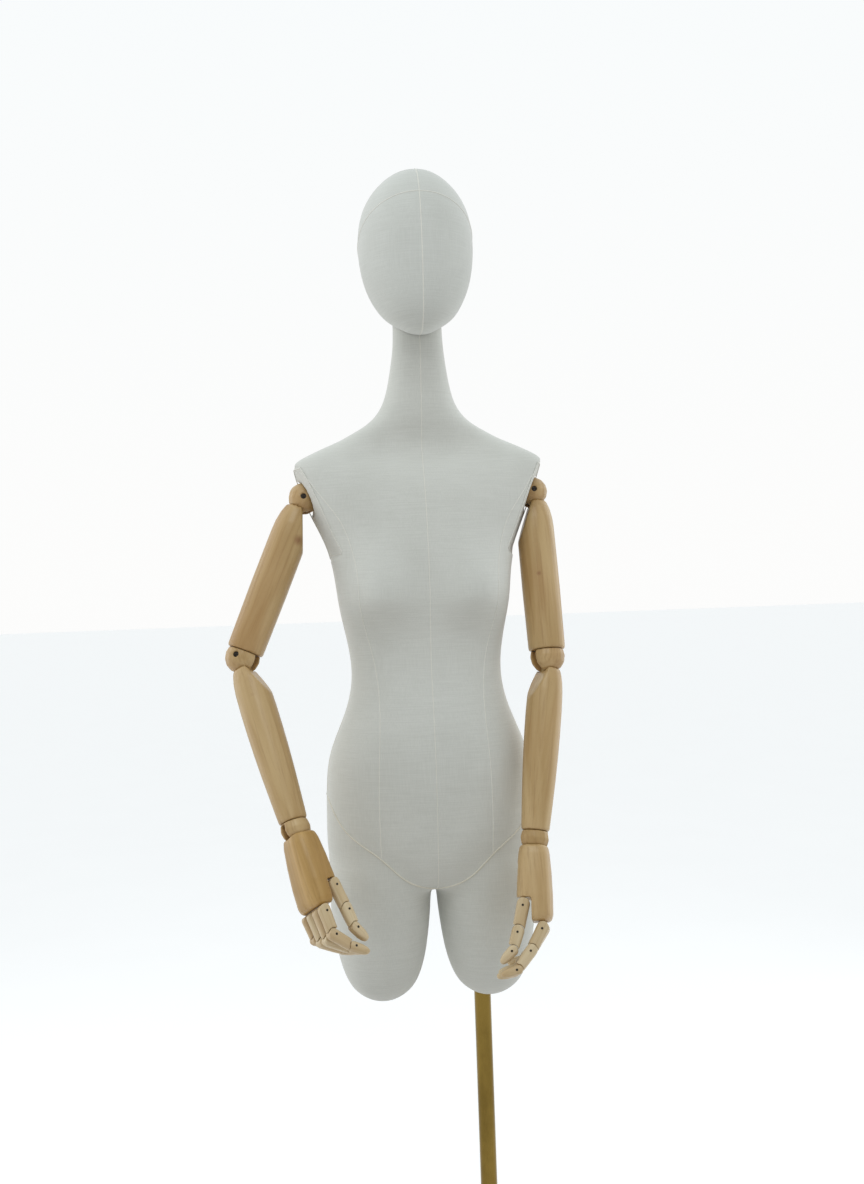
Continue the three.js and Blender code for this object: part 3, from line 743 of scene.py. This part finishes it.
def finish_digit(name, digit, seed):
    for k in (1, 2, 3):
        node = f"{name}_{digit}_segment_{k}"
        joint = f"{name}_{digit}_{k}"
        points = node_points(node)
        place = joint_place(joint)
        axis = Vector(JOINTS[joint]["axis"]).normalized()
        reach = Vector(points.mean(axis=0)) - place
        direction = (reach - axis * reach.dot(axis)).normalized()
        paint(node, wood(f"{node}_wood", direction, seed + 0.3 * k, tones=DIGIT_TONES))
        carve(node, 0.9, 6)
        half = max(abs((Vector(p) - place).dot(axis)) for p in points)
        add_pins(joint, place, axis, direction, half)


def add_pins(joint, place, axis, direction, half):
    """A dark pin through a digit joint, seen as a small head on both sides."""
    around = PIN["sides"]
    across = axis.cross(direction).normalized()
    centre = place + direction * PIN["below"] * MM
    vertices, faces = [], []
    for sign in (1, -1):
        first = len(vertices)
        for height, radius in PIN_RINGS:
            seat = centre + axis * sign * (half / MM + height - PIN["sunk"]) * MM
            for k in range(around):
                angle = 2 * math.pi * k / around
                spoke = direction * math.cos(angle) + across * math.sin(angle)
                vertices.append(seat + spoke * radius * MM)
        rings = [tuple(range(low, low + around)) for low in range(first, len(vertices), around)]
        skin = [rings[0][::-1], rings[-1]]
        for lower, upper in zip(rings, rings[1:]):
            for k in range(around):
                following = (k + 1) % around
                skin.append((lower[k], lower[following], upper[following], upper[k]))
        faces += skin if sign > 0 else [face[::-1] for face in skin]
    pin = make_object(f"{joint}_pin", vertices, faces)
    shade(pin, 35)
    pin.data.materials.append(STEEL)
    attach(pin, joint)


# ------------------------------------------------------------------ the picture
def add_area(name, place, target, size, power, tint):
    light = bpy.data.lights.new(name, "AREA")
    light.shape = "RECTANGLE"
    light.size, light.size_y = size
    light.energy = power
    light.color = tint
    lamp = bpy.data.objects.new(name, light)
    lamp.location = place
    lamp.rotation_euler = (Vector(target) - Vector(place)).to_track_quat("-Z", "Y").to_euler()
    bpy.context.collection.objects.link(lamp)


def add_world():
    """A white studio: bright behind, above and at the sides, dimmer in front and below."""
    world = bpy.data.worlds.new("studio")
    world.use_nodes = True
    nodes, links = world.node_tree.nodes, world.node_tree.links
    background = nodes["Background"]
    place = nodes.new("ShaderNodeTexCoord")
    parts = nodes.new("ShaderNodeSeparateXYZ")
    links.new(place.outputs["Generated"], parts.inputs["Vector"])

    def fade(axis, low, high, dim, bright):
        node = nodes.new("ShaderNodeMapRange")
        node.interpolation_type = "SMOOTHSTEP"
        links.new(parts.outputs[axis], node.inputs["Value"])
        for name, value in (("From Min", low), ("From Max", high), ("To Min", dim), ("To Max", bright)):
            node.inputs[name].default_value = value
        return node.outputs["Result"]

    strength = nodes.new("ShaderNodeMath")
    strength.operation = "MULTIPLY"
    links.new(fade("Y", -0.9, 0.3, WORLD["front"], 1.0), strength.inputs[0])
    links.new(fade("Z", -0.25, 0.0, WORLD["below"], WORLD["level"]), strength.inputs[1])
    tint = nodes.new("ShaderNodeMix")
    tint.data_type = "RGBA"
    links.new(fade("Z", -0.1, 0.9, 0.0, 1.0), tint.inputs["Factor"])
    tint.inputs[6].default_value = (1, 0.998, 0.99, 1)
    tint.inputs[7].default_value = (0.93, 0.98, 1, 1)
    links.new(tint.outputs[2], background.inputs["Color"])
    links.new(strength.outputs[0], background.inputs["Strength"])
    bpy.context.scene.world = world


def add_lights():
    add_world()
    middle = (0, 0, 1.2)
    add_area("key", (-0.25, -1.6, 3.2), (0, 0, 1.3), (1.1, 1.1), 14, (0.96, 0.99, 1))
    add_area("left_side", (-2.2, 0.9, 1.7), middle, (1.2, 2.4), 9, (1, 1, 1))
    add_area("right_side", (2.2, 0.9, 1.7), middle, (1.2, 2.4), 11, (0.94, 0.98, 1))


def add_floor():
    corners = [(-60, -60, 0), (60, -60, 0), (60, 60, 0), (-60, 60, 0)]
    floor = make_object("floor", corners, [(0, 1, 2, 3)])
    s = Shader("floor_paint")
    soft = s.noise(s.mapped((3, 3, 3)), detail=3)
    s.feed(s.surface.inputs["Base Color"], s.mix(soft, (0.90, 0.90, 0.90, 1), (0.93, 0.93, 0.93, 1)))
    s.set(roughness=0.85, emission_strength=0.15)
    s.surface.inputs["Emission Color"].default_value = (1, 1, 1, 1)
    floor.data.materials.append(s.material)
    floor.visible_diffuse = False


def add_camera():
    """Level, 2 m from the form's axis, turned 6 degrees towards its right side."""
    turn, roll, distance = math.radians(6), math.radians(2), 2.0
    forward = Vector((math.sin(turn), math.cos(turn), 0))
    right = Vector((math.cos(turn), -math.sin(turn), 0))
    place = right * 0.013 - forward * distance + Vector((0, 0, 1.2345))
    up = Vector((0, 0, 1)) * math.cos(roll) + right * math.sin(roll)
    data = bpy.data.cameras.new("camera")
    data.lens = 40.5
    data.sensor_width = 36
    camera = bpy.data.objects.new("camera", data)
    side = forward.cross(up)
    camera.matrix_world = Matrix.Translation(place) @ Matrix((side, up, -forward)).transposed().to_4x4()
    bpy.context.collection.objects.link(camera)
    bpy.context.scene.camera = camera


# --------------------------------------------------------------------- assembly
STEEL = dark_steel("dark_steel")
BRASS = brass("satin_brass")
CLOTH = linen("linen_cover", colour("D8DAD4"), colour("C5C7C0"))
# The head's linen is a slightly darker copy of the cover's linen: painted shade on the head.
HEAD_CLOTH = linen("linen_head", colour("D2D5D0"), colour("BFC2BC"))
# The seam and piping linen is lighter than the cover's: a painted highlight along the raised seams and
# piping.
SEAM_CLOTH = linen("linen_seam", colour("E6E6DF"), colour("D2D2C9"), thread=0.5)
PIPING_CLOTH = linen("linen_piping", colour("E4E2D6"), colour("CDCABB"), thread=0.5)

bpy.context.scene.view_settings.view_transform = "Standard"
add_camera()
add_lights()
add_floor()

form, smooth = build_form()
form.data.materials.append(CLOTH)
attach(form, "form")
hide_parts("torso", "left_armhole_board", "right_armhole_board")
build_seams(form, smooth, SEAM_CLOTH, PIPING_CLOTH)

head = build_head()
head.data.materials.append(HEAD_CLOTH)
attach(head, "head")
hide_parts("head")
build_head_seams(head, SEAM_CLOTH)

for number, arm in enumerate(SIDES):
    finish_arm(arm, 3 + 20 * number)
for part in ("inner_pole", "outer_tube", "clamp_collar", "clamp_screw"):
    paint(part, BRASS)
paint("base_plate", brass("plate_brass", round_plate=True))
paint("neck_peg", STEEL)
